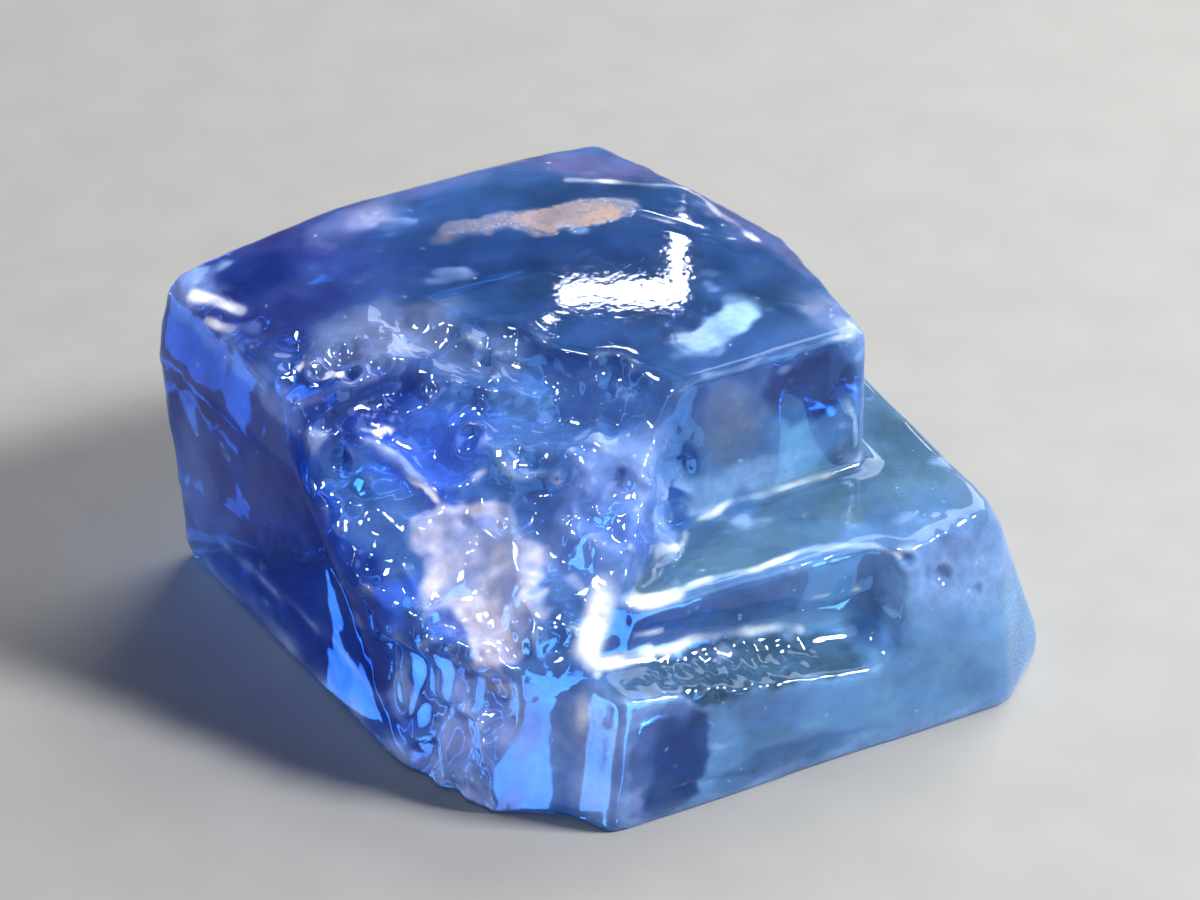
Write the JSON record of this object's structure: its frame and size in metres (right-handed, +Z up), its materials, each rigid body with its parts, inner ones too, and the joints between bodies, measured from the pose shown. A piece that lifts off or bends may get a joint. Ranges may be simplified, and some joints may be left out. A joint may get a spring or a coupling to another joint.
{
  "type": "blue halite crystal",
  "caption": "Rough cleaved block of blue rock salt: a high flat-topped half over a lower stepped shelf, one corner dissolved into pits and flutes, resting on its flat cleaved base.",
  "frame": {"origin": "middle of the bounding box at the flat base", "axes": "+X along the longer base edge, to the right in the picture; +Y to the back; +Z up"},
  "size_m": [0.0424, 0.0386, 0.0224],
  "materials": {
    "blue_halite": "glossy see-through cobalt to violet blue, paler steel blue on the shelf, frosted in patches"
  },
  "bodies": {
    "root": {"halite_crystal": "blue_halite"}
  },
  "joints": []
}
